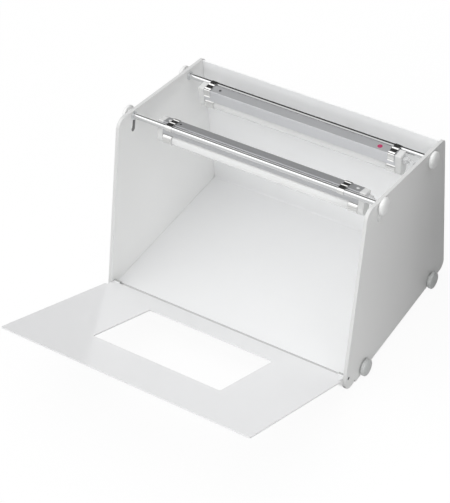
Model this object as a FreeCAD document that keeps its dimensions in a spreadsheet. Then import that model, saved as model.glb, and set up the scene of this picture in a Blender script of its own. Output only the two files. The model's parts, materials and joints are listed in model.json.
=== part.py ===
import FreeCAD, Part
import os
import Sketcher

# Table-top photo light box.
# Two flat side panels carry a bent floor-and-back sheet, two top rods with batten lamps, two bottom
# tie rods, eight clamp knobs and a hinged front flap with a window.
# Part frame: +Z up, +X to the right seen from the open front, -Y towards the flap. The origin is
# under the middle of the object.
# Panel frame: Y from the lower front corner of the side panel, Z from its lower edge. It lies
# shift_y and foot_drop away from the part frame.

# Endings of the names: _rad is a radius, _half a distance either side of the middle in X,
# _y and _z places, _round an edge radius, _gap a clearance, _lap an overlap of fused shapes.
DIMENSIONS = dict(
    # placing of the panel frame, and how far cutting shapes run past what they cut
    shift_y=-34.5565, overrun=1.0,
    # side panels
    half_width=200.0, panel_thick=5.0,
    front_top_y=78.6, front_top_z=276.4, rear_y=290.6, rear_top_z=241.6,
    round_front_low=15.0, round_front_top=16.0, round_rear_top=8.0, round_rear_low=13.0,
    hinge_y=14.2, hinge_z=20.8, hinge_hole_rad=2.5,
    notch_y=27.2, notch_size=3.2,
    foot_drop=3.1, foot_front_y=29.0, foot_back_y=45.5, foot_slope=3.5, foot_round=2.4,
    groove_deep=1.7, groove_gap=0.15, groove_bevel_extra=0.5, groove_top_extra=6.0,
    # top rods; the front one passes through an inclined slot
    rod_rad=4.0, rod_hole_rad=4.08, stud_rad=3.0, rod_end_gap=0.2, inner_face_gap=0.1,
    front_rod_y=111.9, front_rod_z=262.6, rear_rod_y=249.0, rear_rod_z=237.0,
    slot_low_y=106.25, slot_low_z=242.72, slot_side_y=3.925, slot_side_z=1.116,
    ring_rad=6.5, ring_thick=1.0, ring_bore=4.03,
    # bottom tie rods
    tie_rad=3.0, tie_stud_rad=2.5, tie_hole_rad=2.6,
    tie_z=9.4, tie_front_y=52.5, tie_rear_y=246.3,
    # knobs, measured outwards from the outer face of the panel
    knob_gap=0.15, knob_hub_rad=8.0, knob_hub_end=2.5, knob_bevel=0.9, knob_rad=12.5,
    knob_rim=7.3, knob_slope_long=1.6, knob_slope_in=1.3,
    knob_dome_back=0.3, knob_dome_in=4.6, knob_face=10.2, knob_face_rad=4.0,
    knob_bore_end=8.45, knob_bore_rad=3.05, foot_bore_rad=2.55,
    # floor and back sheet
    sheet_thick=2.0, floor_under_z=12.6, floor_front_y=21.9, back_outer_y=285.5,
    back_top_z=240.9, sheet_half=196.5, bend_rad=3.0,
    # flap, measured from the hinge axis
    flap_thick=2.0, neck_half=194.5, neck_start=2.5, flex_line=19.0, flex_gap=0.3,
    flap_half=198.0, flap_len=262.7, flap_round=4.0, flap_turn=153.57,
    window_start=42.5, window_end=181.6, window_half=102.6, window_round=4.0,
    lug_rad=3.5, lug_in=184.0, lug_bore=2.47, pin_rad=2.45, pin_in=186.0, pin_out=199.7,
    # lamp channel and cover, drawn from the centre of the rod
    lamp_near=5.2, lamp_wide=16.0, lamp_top=4.4, lamp_tall=18.5, lamp_wall=1.0, lamp_half=156.7,
    channel_round=0.8, fit_gap=0.1, vent_x=132.5, vent_rad=2.0,
    cover_thick=1.2, cover_up=0.2, cover_end_gap=0.2, cover_rib_half=1.0, cover_rib_tall=1.0,
    # ballast
    board_z=-8.0, board_thick=1.6, board_half=105.0, board_inset=0.6, ballast_lap=0.2,
    coil_start=22.0, coil_end=44.0, coil_up=3.8, coil_rad=4.0,
    # end caps and collars
    cap_long=9.0, cap_gap=0.05, cap_lap=0.5, cap_round=1.6, cap_low_rad=8.6, tube_drop=22.9,
    spigot_in=145.0, spigot_low=-2.0, holder_rad=7.95, holder_in=144.4,
    socket_rad=4.2, socket_end=152.0, collar_rad=8.9, collar_bore=8.08, collar_in=141.7,
    # rivets
    rivet_x=150.0, rivet_head=2.5, rivet_head_deep=0.9, rivet_shank=1.4, rivet_end=0.0,
    rivet_gap=0.05, rivet_lap=0.1, rivet_hole_extra=5.0,
    # tubes
    tube_rad=7.75, tube_bore=7.0, glass_half=141.9, tube_half=144.0,
    tube_cap_rad=8.0, tube_cap_gap=0.02,
    tube_pin_rad=1.2, tube_pin_off=2.375, tube_pin_end=151.0, tube_pin_lap=0.5,
    # spring clips
    clip_wide=10.0, clip_thick=0.8, clip_bore=4.06, clip_leg=10.0, clip_toe=1.6,
    hook_open_near=1.2, hook_open_far=6.0, hook_open_low=-6.0, hook_open_top=3.2,
    front_clip_left=-142.1, front_clip_right=132.9, rear_clip=150.3,
    # places and tilts of the two lamps
    front_lamp_x=7.5, rear_lamp_x=-0.6, front_tilt=-15.0, rear_tilt=0.5,
    # red dot
    dot_x=129.0, dot_rad=3.6, dot_thick=0.25, dot_gap=0.01, dot_step=0.15, dot_step_in=1.0,
    # plug and lead
    plug_long=10.0, plug_tall=8.0, plug_wide=9.0, plug_top=-0.5, plug_block_part=0.7,
    plug_neck_rad=3.4, plug_neck_start=1.0,
    lead_rad=2.2, lead_bend=4.6, lead_drop=34.0, lead_drop_rad=2.14, lead_lap=0.3,
    lead_tip_rad=2.9, lead_tip_long=8.0,
)

# Blocks on the ballast board: x from, x to (both from the middle of the lamp),
# inset from the inner walls of the channel, height above the board.
BALLAST_BLOCKS = [
    (-88.0, -62.0, 1.6, 7.6),
    (-40.0, -22.0, 2.2, 6.2),
    (-6.0, 8.0, 1.8, 5.0),
    (62.0, 70.0, 2.6, 6.8),
    (84.0, 98.0, 2.0, 7.0),
]

X_AXIS, Z_AXIS = 0, 2
ENDS = (-1.0, 1.0)
EDGE_TOLERANCE = 0.02


# ---------------------------------------------------------------- sizes bound to the sheet
class Size:
    """A size: its number now, and the expression that binds it to the sheet."""

    def __init__(self, num, text):
        self.num, self.text = float(num), text

    def __add__(self, other):
        other = size(other)
        return Size(self.num + other.num, "(%s + %s)" % (self.text, other.text))

    def __sub__(self, other):
        other = size(other)
        return Size(self.num - other.num, "(%s - %s)" % (self.text, other.text))

    def __mul__(self, other):
        other = size(other)
        return Size(self.num * other.num, "(%s * %s)" % (self.text, other.text))

    def __neg__(self):
        return Size(-self.num, "(0 - %s)" % self.text)


def size(value):
    return value if isinstance(value, Size) else Size(value, "(%s)" % repr(float(value)))


class Dimensions:
    """Holds each driving dimension as an attribute."""


doc = FreeCAD.newDocument("light_box")
sheet = doc.addObject("Spreadsheet::Sheet", "Dims")
dim = Dimensions()
for row, (alias, number) in enumerate(DIMENSIONS.items(), start=1):
    sheet.set("A%d" % row, alias)
    sheet.set("B%d" % row, repr(number))
    sheet.setAlias("B%d" % row, alias)
    setattr(dim, alias, Size(number, "Dims." + alias))
doc.recompute()

# Places in the panel frame (y, z)
FRONT_ROD = (dim.front_rod_y, dim.front_rod_z)
REAR_ROD = (dim.rear_rod_y, dim.rear_rod_z)
FRONT_TIE = (dim.tie_front_y, dim.tie_z)
REAR_TIE = (dim.tie_rear_y, dim.tie_z)
HINGE = (dim.hinge_y, dim.hinge_z)

PANEL_ORIGIN = (dim.shift_y, dim.foot_drop)
THROUGH_HALF = dim.half_width - dim.rod_end_gap
INSIDE_HALF = dim.half_width - dim.panel_thick - dim.inner_face_gap
# the studs stop short of the bottom of the knob bores
STUD_END = dim.half_width + dim.knob_bore_end - dim.knob_gap

nodes = []


def keep(obj):
    nodes.append(obj)


def from_panel(y, z):
    """Place in the part frame of a point given in the panel frame."""
    return y + dim.shift_y, z + dim.foot_drop


def bind(obj, prop, value):
    value = size(value)
    setattr(obj, prop, value.num)
    obj.setExpression(prop, value.text)


def place(obj, x, y, z, axis=(1, 0, 0), turn=0.0):
    """Places an object; a turn given as a Size is bound to the sheet too."""
    base = [size(v) for v in (x, y, z)]
    rotation = FreeCAD.Rotation(FreeCAD.Vector(*axis), size(turn).num)
    obj.Placement = FreeCAD.Placement(FreeCAD.Vector(*[v.num for v in base]), rotation)
    for letter, value in zip("xyz", base):
        obj.setExpression(".Placement.Base." + letter, value.text)
    if isinstance(turn, Size):
        obj.setExpression(".Placement.Rotation.Angle", turn.text)
    return obj


# ---------------------------------------------------------------- sketches
def new_body(label):
    body = doc.addObject("PartDesign::Body", label)
    body.Label = label
    return body


def origin_feature(body, name):
    for feature in body.Origin.OriginFeatures:
        if getattr(feature, "Role", "") == name:
            return feature
    raise RuntimeError("no origin feature " + name)


def new_sketch(body, plane, lift=None):
    sketch = body.newObject("Sketcher::SketchObject", "Sketch")
    sketch.AttachmentSupport = [(origin_feature(body, plane), "")]
    sketch.MapMode = "FlatFace"
    if lift is not None:
        offset = FreeCAD.Vector(0, 0, lift.num)
        sketch.AttachmentOffset = FreeCAD.Placement(offset, FreeCAD.Rotation())
        sketch.setExpression(".AttachmentOffset.Base.z", lift.text)
    return sketch


def across_x(body, lift=None):
    """Sketch across the X axis: its own axes are Y and Z of the body, its normal +X."""
    return new_sketch(body, "YZ_Plane", lift)


def bind_constraint(sketch, index, text):
    name = "c%d" % index
    sketch.renameConstraint(index, name)
    sketch.setExpression("Constraints." + name, text)


def pin_point(sketch, geo, pos, x, y):
    """Ties one point of a sketch to the origin by two sizes."""
    for kind, value, zero_axis in (("DistanceX", x, -2), ("DistanceY", y, -1)):
        if abs(value.num) < 1e-9:
            sketch.addConstraint(Sketcher.Constraint("PointOnObject", geo, pos, zero_axis))
            continue
        # a distance has to be positive, so a negative one is measured towards the origin
        if value.num > 0:
            constraint = Sketcher.Constraint(kind, -1, 1, geo, pos, value.num)
        else:
            value = -value
            constraint = Sketcher.Constraint(kind, geo, pos, -1, 1, value.num)
        bind_constraint(sketch, sketch.addConstraint(constraint), value.text)


def polygon(sketch, points):
    """Closed outline through points given by their sizes."""
    points = [(size(x), size(y)) for x, y in points]
    corners = [FreeCAD.Vector(x.num, y.num, 0) for x, y in points]
    lines = []
    for start, end in zip(corners, corners[1:] + corners[:1]):
        lines.append(sketch.addGeometry(Part.LineSegment(start, end), False))
    for line, following in zip(lines, lines[1:] + lines[:1]):
        sketch.addConstraint(Sketcher.Constraint("Coincident", line, 2, following, 1))
    for line, point in zip(lines, points):
        pin_point(sketch, line, 1, *point)
    return sketch


def rectangle(sketch, x0, y0, x1, y1):
    return polygon(sketch, [(x0, y0), (x1, y0), (x1, y1), (x0, y1)])


def circle(sketch, x, y, radius):
    x, y = size(x), size(y)
    outline = Part.Circle(FreeCAD.Vector(x.num, y.num, 0), FreeCAD.Vector(0, 0, 1), radius.num)
    geo = sketch.addGeometry(outline, False)
    pin_point(sketch, geo, 3, x, y)
    index = sketch.addConstraint(Sketcher.Constraint("Radius", geo, radius.num))
    bind_constraint(sketch, index, radius.text)
    return sketch


# ---------------------------------------------------------------- body features
def pad(body, sketch, length):
    feature = body.newObject("PartDesign::Pad", "Pad")
    feature.Profile = sketch
    bind(feature, "Length", length)
    doc.recompute()


def pocket(body, sketch, length=None, along_normal=False):
    """Cuts against the sketch normal or along it, through everything if no length is given."""
    before = body.Shape.Volume
    feature = body.newObject("PartDesign::Pocket", "Pocket")
    feature.Profile = sketch
    if length is None:
        feature.Type = 1  # through all
    else:
        bind(feature, "Length", length)
    feature.Reversed = along_normal
    doc.recompute()
    if not body.Shape.Volume < before - 1e-6:
        raise RuntimeError("pocket cuts nothing in " + body.Label)


def fillet(body, radius, axis, places):
    """Rounds the edges along an axis that pass through places given on the two other axes."""
    others = [k for k in (0, 1, 2) if k != axis]
    targets = [[size(v).num for v in spot] for spot in places]

    def near(point, target):
        return all(abs(point[k] - v) < EDGE_TOLERANCE for k, v in zip(others, target))

    tip = body.Tip
    names = []
    for i, edge in enumerate(tip.Shape.Edges, start=1):
        ends = [vertex.Point for vertex in edge.Vertexes]
        if len(ends) == 2 and any(all(near(p, target) for p in ends) for target in targets):
            names.append("Edge%d" % i)
    if not names:
        raise RuntimeError("no edges to round in " + body.Label)
    feature = body.newObject("PartDesign::Fillet", "Fillet")
    feature.Base = (tip, names)
    bind(feature, "Radius", radius)
    doc.recompute()


# ---------------------------------------------------------------- plain solids
def cylinder_x(x0, x1, y, z, radius):
    """Cylinder along X."""
    solid = doc.addObject("Part::Cylinder", "Cylinder")
    bind(solid, "Radius", radius)
    bind(solid, "Height", x1 - x0)
    return place(solid, x0, y, z, axis=(0, 1, 0), turn=90.0)


def cylinder_z(x, y, z0, z1, radius):
    """Upright cylinder."""
    solid = doc.addObject("Part::Cylinder", "Cylinder")
    bind(solid, "Radius", radius)
    bind(solid, "Height", z1 - z0)
    return place(solid, x, y, z0)


def block(x0, x1, y0, y1, z0, z1):
    solid = doc.addObject("Part::Box", "Box")
    bind(solid, "Length", x1 - x0)
    bind(solid, "Width", y1 - y0)
    bind(solid, "Height", z1 - z0)
    return place(solid, x0, y0, z0)


def fuse(items, label="Fusion"):
    fusion = doc.addObject("Part::MultiFuse", label)
    fusion.Shapes = items
    return fusion


def cut(base, tool, label="Cut"):
    result = doc.addObject("Part::Cut", label)
    result.Base, result.Tool = base, tool
    return result


def pipe_x(x0, x1, y, z, radius, bore, label="Cut"):
    """Hollow cylinder along X."""
    tool_ends = x0 - dim.overrun, x1 + dim.overrun
    return cut(cylinder_x(x0, x1, y, z, radius), cylinder_x(*tool_ends, y, z, bore), label)


def group(items, label):
    compound = doc.addObject("Part::Compound", label)
    compound.Links = items
    return compound


# ---------------------------------------------------------------- side panels
def panel_blank(panel):
    """Outline, with a low foot under the front of the lower edge."""
    sole = -dim.foot_drop
    polygon_points = [
        (0.0, 0.0), (dim.front_top_y, dim.front_top_z),
        (dim.rear_y, dim.rear_top_z), (dim.rear_y, 0.0),
        (dim.foot_back_y + dim.foot_slope, 0.0), (dim.foot_back_y, sole),
        (dim.foot_front_y, sole), (dim.foot_front_y, 0.0),
    ]
    pad(panel, polygon(across_x(panel), polygon_points), dim.panel_thick)


def panel_groove(panel, left):
    """Groove in the inner face that holds the floor and back sheet."""
    gap = dim.groove_gap
    low = dim.floor_under_z - gap
    high = dim.floor_under_z + dim.sheet_thick + gap
    outer = dim.back_outer_y + gap
    inner = dim.back_outer_y - dim.sheet_thick - gap
    start = dim.floor_front_y - gap
    top = dim.rear_top_z + dim.groove_top_extra
    bevel = dim.bend_rad + dim.groove_bevel_extra
    sketch = across_x(panel, dim.panel_thick if left else None)
    polygon(sketch, [(start, low), (outer, low), (outer, top), (inner, top),
                     (inner, high + bevel), (inner - bevel, high), (start, high)])
    pocket(panel, sketch, dim.groove_deep, along_normal=not left)


def panel_openings(panel):
    # inclined slot for the front rod: straight part, then its two round ends
    top_y, top_z = FRONT_ROD
    low_y, low_z = dim.slot_low_y, dim.slot_low_z
    side_y, side_z = dim.slot_side_y, dim.slot_side_z
    slot = [(top_y - side_y, top_z + side_z), (top_y + side_y, top_z - side_z),
            (low_y + side_y, low_z - side_z), (low_y - side_y, low_z + side_z)]
    pocket(panel, polygon(across_x(panel), slot), along_normal=True)
    sketch = across_x(panel)
    circle(sketch, top_y, top_z, dim.rod_hole_rad)
    circle(sketch, low_y, low_z, dim.rod_hole_rad)
    pocket(panel, sketch, along_normal=True)
    # rear rod hole, hinge hole, tie rod holes
    sketch = across_x(panel)
    circle(sketch, *REAR_ROD, dim.rod_hole_rad)
    circle(sketch, *HINGE, dim.hinge_hole_rad)
    circle(sketch, *FRONT_TIE, dim.tie_hole_rad)
    circle(sketch, *REAR_TIE, dim.tie_hole_rad)
    pocket(panel, sketch, along_normal=True)
    # small notch in the lower edge, which also trims the front of the foot
    sketch = across_x(panel)
    rectangle(sketch, dim.notch_y, -dim.foot_drop - dim.overrun * 2.0,
              dim.notch_y + dim.notch_size, dim.notch_size)
    pocket(panel, sketch, along_normal=True)


def side_panel(label, left):
    panel = new_body(label)
    panel_blank(panel)
    panel_groove(panel, left)
    panel_openings(panel)
    sole = -dim.foot_drop
    foot_corners = [(dim.notch_y + dim.notch_size, sole), (dim.foot_back_y, sole)]
    fillet(panel, dim.foot_round, X_AXIS, foot_corners)
    fillet(panel, dim.round_front_low, X_AXIS, [(0.0, 0.0)])
    fillet(panel, dim.round_front_top, X_AXIS, [(dim.front_top_y, dim.front_top_z)])
    fillet(panel, dim.round_rear_low, X_AXIS, [(dim.rear_y, 0.0)])
    fillet(panel, dim.round_rear_top, X_AXIS, [(dim.rear_y, dim.rear_top_z)])
    x = -dim.half_width if left else dim.half_width - dim.panel_thick
    keep(place(panel, x, *PANEL_ORIGIN))


# ---------------------------------------------------------------- floor and back sheet
def backdrop_sheet():
    backdrop = new_body("backdrop_sheet")
    front, outer = dim.floor_front_y, dim.back_outer_y
    under, top = dim.floor_under_z, dim.back_top_z
    inner = outer - dim.sheet_thick
    floor = under + dim.sheet_thick
    profile = [(front, under), (outer, under), (outer, top),
               (inner, top), (inner, floor), (front, floor)]
    pad(backdrop, polygon(across_x(backdrop), profile), dim.sheet_half * 2.0)
    fillet(backdrop, dim.bend_rad, X_AXIS, [(inner, floor)])
    fillet(backdrop, dim.bend_rad + dim.sheet_thick, X_AXIS, [(outer, under)])
    keep(place(backdrop, -dim.sheet_half, *PANEL_ORIGIN))


# ---------------------------------------------------------------- rods and knobs
def rod(label, centre, half, radius, stud_rad):
    """Round rod with a thinner stud at each end for the knobs."""
    y, z = from_panel(*centre)
    keep(fuse([cylinder_x(-half, half, y, z, radius),
               cylinder_x(-STUD_END, STUD_END, y, z, stud_rad)], label))


def stop_rings(label, centre):
    """Rings on a rod at the inner faces, which the knobs clamp the panels against."""
    y, z = from_panel(*centre)
    spans = ((-INSIDE_HALF, dim.ring_thick - INSIDE_HALF),
             (INSIDE_HALF - dim.ring_thick, INSIDE_HALF))
    rings = [pipe_x(x0, x1, y, z, dim.ring_rad, dim.ring_bore) for x0, x1 in spans]
    keep(group(rings, label))


def knob(label, centre, right, bore):
    """Round knob on a smaller hub, with a domed face and a blind bore, revolved about X."""
    body = new_body(label)
    sketch = new_sketch(body, "XY_Plane")
    rim_rad = dim.knob_rad
    # distance from the panel, radius
    polygon(sketch, [
        (dim.knob_gap, bore),
        (dim.knob_gap, dim.knob_hub_rad),
        (dim.knob_hub_end, dim.knob_hub_rad),
        (dim.knob_hub_end, rim_rad - dim.knob_bevel),
        (dim.knob_hub_end + dim.knob_bevel, rim_rad),
        (dim.knob_rim, rim_rad),
        (dim.knob_rim + dim.knob_slope_long, rim_rad - dim.knob_slope_in),
        (dim.knob_face - dim.knob_dome_back, rim_rad - dim.knob_dome_in),
        (dim.knob_face, dim.knob_face_rad),
        (dim.knob_face, 0.0),
        (dim.knob_bore_end, 0.0),
        (dim.knob_bore_end, bore),
    ])
    feature = body.newObject("PartDesign::Revolution", "Revolution")
    feature.Profile = sketch
    feature.ReferenceAxis = (origin_feature(body, "X_Axis"), [""])
    feature.Angle = 360.0
    doc.recompute()
    x, turn = (dim.half_width, 0.0) if right else (-dim.half_width, 180.0)
    keep(place(body, x, *from_panel(*centre), axis=(0, 0, 1), turn=turn))


# ---------------------------------------------------------------- flap
# Flap pieces are drawn flat from the hinge axis: X across, Y away from the hinge, Z through
# the sheet.
def keep_in_flap_frame(obj):
    keep(place(obj, 0.0, *from_panel(*HINGE), turn=dim.flap_turn))


def flap_neck():
    """Strip at the hinge, with a bored lug at each end."""
    neck = new_body("flap_neck")
    half = dim.neck_half
    sketch = new_sketch(neck, "XY_Plane", dim.flap_thick * -0.5)
    rectangle(sketch, -half, dim.neck_start, half, dim.flex_line - dim.flex_gap)
    pad(neck, sketch, dim.flap_thick)
    for x0, x1 in ((-half, -dim.lug_in), (dim.lug_in, half)):
        pad(neck, circle(across_x(neck, x0), 0.0, 0.0, dim.lug_rad), x1 - x0)
    sketch = circle(across_x(neck, -half - dim.overrun), 0.0, 0.0, dim.lug_bore)
    pocket(neck, sketch, half * 2.0 + dim.overrun * 2.0, along_normal=True)
    keep_in_flap_frame(neck)


def flap_hinge_pins():
    spans = ((-dim.pin_out, -dim.pin_in), (dim.pin_in, dim.pin_out))
    pins = [cylinder_x(x0, x1, 0.0, 0.0, dim.pin_rad) for x0, x1 in spans]
    keep_in_flap_frame(group(pins, "flap_hinge_pins"))


def flap_sheet():
    flap = new_body("flap_sheet")
    half, end = dim.flap_half, dim.flap_len
    under = dim.flap_thick * -0.5
    sketch = new_sketch(flap, "XY_Plane", under)
    rectangle(sketch, -half, dim.flex_line + dim.flex_gap, half, end)
    pad(flap, sketch, dim.flap_thick)
    side, start, stop = dim.window_half, dim.window_start, dim.window_end
    sketch = new_sketch(flap, "XY_Plane", under - dim.overrun)
    rectangle(sketch, -side, start, side, stop)
    pocket(flap, sketch, dim.flap_thick + dim.overrun * 2.0, along_normal=True)
    window_corners = [(side, start), (side, stop), (-side, start), (-side, stop)]
    fillet(flap, dim.window_round, Z_AXIS, window_corners)
    fillet(flap, dim.flap_round, Z_AXIS, [(half, end), (-half, end)])
    keep_in_flap_frame(flap)


# ---------------------------------------------------------------- lamps
class Lamp:
    """Shared places of one batten lamp, from the centre of its rod.

    side is +1 with the channel behind the rod, -1 with the channel in front of it.
    """

    def __init__(self, name, side, centre):
        self.name, self.side, self.centre = name, side, centre
        self.mid = (dim.lamp_near + dim.lamp_wide * 0.5) * side
        self.front, self.rear = self.across(dim.lamp_near, dim.lamp_near + dim.lamp_wide)
        self.inner_front = self.front + dim.lamp_wall + dim.fit_gap
        self.inner_rear = self.rear - dim.lamp_wall - dim.fit_gap
        self.low = dim.lamp_top - dim.lamp_tall
        self.tube_z = -dim.tube_drop
        self.plug_x = centre + dim.lamp_half + dim.cap_long + dim.cap_gap
        self.plug_z = dim.plug_top - dim.plug_tall * 0.5

    def across(self, near, far):
        """Range in Y, measured from the rod outwards, front end first."""
        near, far = size(near), size(far)
        return (near, far) if self.side > 0 else (-far, -near)

    def span(self, end, inner, outer):
        """Range in X, measured from the middle of the lamp towards one end, left end first."""
        if end > 0:
            return self.centre + inner, self.centre + outer
        return self.centre - outer, self.centre - inner


def lamp_channel(lamp):
    """Channel, open below."""
    channel = new_body(lamp.name + "_channel")
    wall, top, front, rear, low = dim.lamp_wall, dim.lamp_top, lamp.front, lamp.rear, lamp.low
    sketch = across_x(channel, lamp.centre - dim.lamp_half)
    polygon(sketch, [(front, low), (front + wall, low), (front + wall, top - wall),
                     (rear - wall, top - wall), (rear - wall, low), (rear, low),
                     (rear, top), (front, top)])
    pad(channel, sketch, dim.lamp_half * 2.0)
    # rivet holes and a vent hole through the top
    sketch = new_sketch(channel, "XY_Plane", top + dim.overrun)
    for end in ENDS:
        circle(sketch, lamp.centre + dim.rivet_x * end, lamp.mid, dim.rivet_head + dim.rivet_gap)
    circle(sketch, lamp.centre - dim.vent_x, lamp.mid, dim.vent_rad)
    pocket(channel, sketch, wall + dim.overrun * 1.5)
    fillet(channel, dim.channel_round, X_AXIS, [(front, top), (rear, top)])
    return channel


def lamp_cover(lamp):
    """Cover plate inside the open side of the channel, with a rib along its middle."""
    half = dim.lamp_half - dim.cover_end_gap
    x0, x1 = lamp.centre - half, lamp.centre + half
    under = lamp.low + dim.cover_up
    top = under + dim.cover_thick
    plate = block(x0, x1, lamp.inner_front, lamp.inner_rear, under, top)
    rib = block(x0, x1, lamp.mid - dim.cover_rib_half, lamp.mid + dim.cover_rib_half,
                under, top + dim.cover_rib_tall)
    return fuse([plate, rib], lamp.name + "_cover")


def lamp_ballast(lamp):
    """Ballast board with its parts."""
    centre, front, rear = lamp.centre, lamp.inner_front, lamp.inner_rear
    top = dim.board_z + dim.board_thick
    parts = [block(centre - dim.board_half, centre + dim.board_half,
                   front + dim.board_inset, rear - dim.board_inset, dim.board_z, top)]
    for x0, x1, inset, height in BALLAST_BLOCKS:
        parts.append(block(centre + x0, centre + x1, front + inset, rear - inset,
                           top - dim.ballast_lap, top + height))
    parts.append(cylinder_x(centre + dim.coil_start, centre + dim.coil_end,
                            lamp.mid, top + dim.coil_up, dim.coil_rad))
    return fuse(parts, lamp.name + "_ballast")


def lamp_end_cap(lamp, end_name, end):
    """Outer shell, spigot inside the channel and round lampholder below it."""
    cap = new_body(lamp.name + "_end_cap_" + end_name)
    half, top, mid, tube_z = dim.lamp_half, dim.lamp_top, lamp.mid, lamp.tube_z
    # outer shell
    x0, x1 = lamp.span(end, half + dim.cap_gap, half + dim.cap_long)
    pad(cap, rectangle(across_x(cap, x0), lamp.front, tube_z, lamp.rear, top), x1 - x0)
    pad(cap, circle(across_x(cap, x0), mid, tube_z, dim.cap_low_rad), x1 - x0)
    fillet(cap, dim.cap_round, X_AXIS, [(lamp.front, top)])
    fillet(cap, dim.cap_round, X_AXIS, [(lamp.rear, top)])
    # spigot and its rivet hole
    x0, x1 = lamp.span(end, dim.spigot_in, half + dim.cap_lap)
    sketch = across_x(cap, x0)
    rectangle(sketch, lamp.inner_front, dim.spigot_low,
              lamp.inner_rear, top - dim.lamp_wall - dim.fit_gap)
    pad(cap, sketch, x1 - x0)
    sketch = new_sketch(cap, "XY_Plane", top)
    circle(sketch, lamp.centre + dim.rivet_x * end, mid, dim.rivet_shank + dim.rivet_gap)
    pocket(cap, sketch, dim.lamp_wall + dim.rivet_hole_extra)
    # lampholder and its socket
    x0, x1 = lamp.span(end, dim.holder_in, half + dim.cap_lap)
    pad(cap, circle(across_x(cap, x0), mid, tube_z, dim.holder_rad), x1 - x0)
    x0, x1 = lamp.span(end, dim.holder_in - dim.overrun, dim.socket_end)
    sketch = circle(across_x(cap, x0), mid, tube_z, dim.socket_rad)
    pocket(cap, sketch, x1 - x0, along_normal=True)
    return cap


def lamp_collars(lamp):
    """Collars around the lampholders and tube ends."""
    collars = []
    for end in ENDS:
        x0, x1 = lamp.span(end, dim.collar_in, dim.lamp_half)
        collars.append(pipe_x(x0, x1, lamp.mid, lamp.tube_z, dim.collar_rad, dim.collar_bore))
    return group(collars, lamp.name + "_collars")


def lamp_rivets(lamp):
    """Flush rivets that hold the end caps in the channel."""
    top = dim.lamp_top
    rivets = []
    for end in ENDS:
        x = lamp.centre + dim.rivet_x * end
        head = cylinder_z(x, lamp.mid, top - dim.rivet_head_deep, top, dim.rivet_head)
        shank = cylinder_z(x, lamp.mid, dim.rivet_end, top - dim.rivet_lap, dim.rivet_shank)
        rivets.append(fuse([head, shank]))
    return group(rivets, lamp.name + "_rivets")


def lamp_spring_clips(lamp, offsets):
    """Clips: hook round the rod, strap over the channel, leg down its far side and a toe."""
    thick = dim.clip_thick
    far = dim.lamp_near + dim.lamp_wide + dim.fit_gap
    strap_low = dim.lamp_top + dim.fit_gap
    strap_top = strap_low + thick
    leg_low = strap_low - dim.clip_leg
    clips = []
    for offset in offsets:
        middle = lamp.centre + offset
        x0, x1 = middle - dim.clip_wide * 0.5, middle + dim.clip_wide * 0.5
        hook = cut(pipe_x(x0, x1, 0.0, 0.0, dim.clip_bore + thick, dim.clip_bore),
                   block(x0 - dim.overrun, x1 + dim.overrun,
                         *lamp.across(dim.hook_open_near, dim.hook_open_far),
                         dim.hook_open_low, dim.hook_open_top))
        strap = block(x0, x1, *lamp.across(0.0, far + thick), strap_low, strap_top)
        leg = block(x0, x1, *lamp.across(far, far + thick), leg_low, strap_top)
        toe = block(x0, x1, *lamp.across(far, far + thick + dim.clip_toe),
                    leg_low - thick, leg_low)
        clips.append(fuse([hook, strap, leg, toe]))
    return group(clips, lamp.name + "_spring_clips")


def lamp_plug(lamp):
    """Plug at the right end."""
    x, mid = lamp.plug_x, lamp.mid
    shell = block(x, x + dim.plug_long * dim.plug_block_part,
                  mid - dim.plug_wide * 0.5, mid + dim.plug_wide * 0.5,
                  dim.plug_top - dim.plug_tall, dim.plug_top)
    neck = cylinder_x(x + dim.plug_neck_start, x + dim.plug_long, mid, lamp.plug_z,
                      dim.plug_neck_rad)
    return fuse([shell, neck], lamp.name + "_plug")


def lamp_lead(lamp):
    """Lead that bends down from the plug and ends in a thicker tip."""
    x = lamp.plug_x + dim.plug_long + dim.cap_gap
    bend_z = lamp.plug_z - dim.lead_bend
    # quarter bend from level to straight down, in the XZ plane
    bend = doc.addObject("Part::Torus", "Torus")
    bind(bend, "Radius1", dim.lead_bend)
    bind(bend, "Radius2", dim.lead_rad)
    bend.Angle3 = 90.0
    place(bend, x, lamp.mid, bend_z, turn=90.0)
    drop_x, low = x + dim.lead_bend, bend_z - dim.lead_drop
    drop = cylinder_z(drop_x, lamp.mid, low, bend_z + dim.lead_lap, dim.lead_drop_rad)
    tip = cylinder_z(drop_x, lamp.mid, low - dim.lead_tip_long, low, dim.lead_tip_rad)
    return fuse([bend, drop, tip], lamp.name + "_lead")


def lamp_tube_glass(lamp):
    x0, x1 = lamp.span(1.0, -dim.glass_half, dim.glass_half)
    return pipe_x(x0, x1, lamp.mid, lamp.tube_z, dim.tube_rad, dim.tube_bore,
                  lamp.name + "_tube_glass")


def lamp_tube_caps(lamp):
    """End caps of the tube, with two contact pins each."""
    caps = []
    for end in ENDS:
        x0, x1 = lamp.span(end, dim.glass_half + dim.tube_cap_gap, dim.tube_half)
        parts = [cylinder_x(x0, x1, lamp.mid, lamp.tube_z, dim.tube_cap_rad)]
        x0, x1 = lamp.span(end, dim.tube_half - dim.tube_pin_lap, dim.tube_pin_end)
        for z in (lamp.tube_z - dim.tube_pin_off, lamp.tube_z + dim.tube_pin_off):
            parts.append(cylinder_x(x0, x1, lamp.mid, z, dim.tube_pin_rad))
        caps.append(fuse(parts))
    return group(caps, lamp.name + "_tube_caps")


def lamp_red_dot(lamp):
    """Low stepped disc on top of the channel."""
    x, under, top = lamp.centre + dim.dot_x, dim.lamp_top + dim.dot_gap, dim.lamp_top + dim.dot_thick
    disc = cylinder_z(x, lamp.mid, under, top, dim.dot_rad)
    step = cylinder_z(x, lamp.mid, under, top + dim.dot_step, dim.dot_rad - dim.dot_step_in)
    return fuse([disc, step], lamp.name + "_red_dot")


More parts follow.
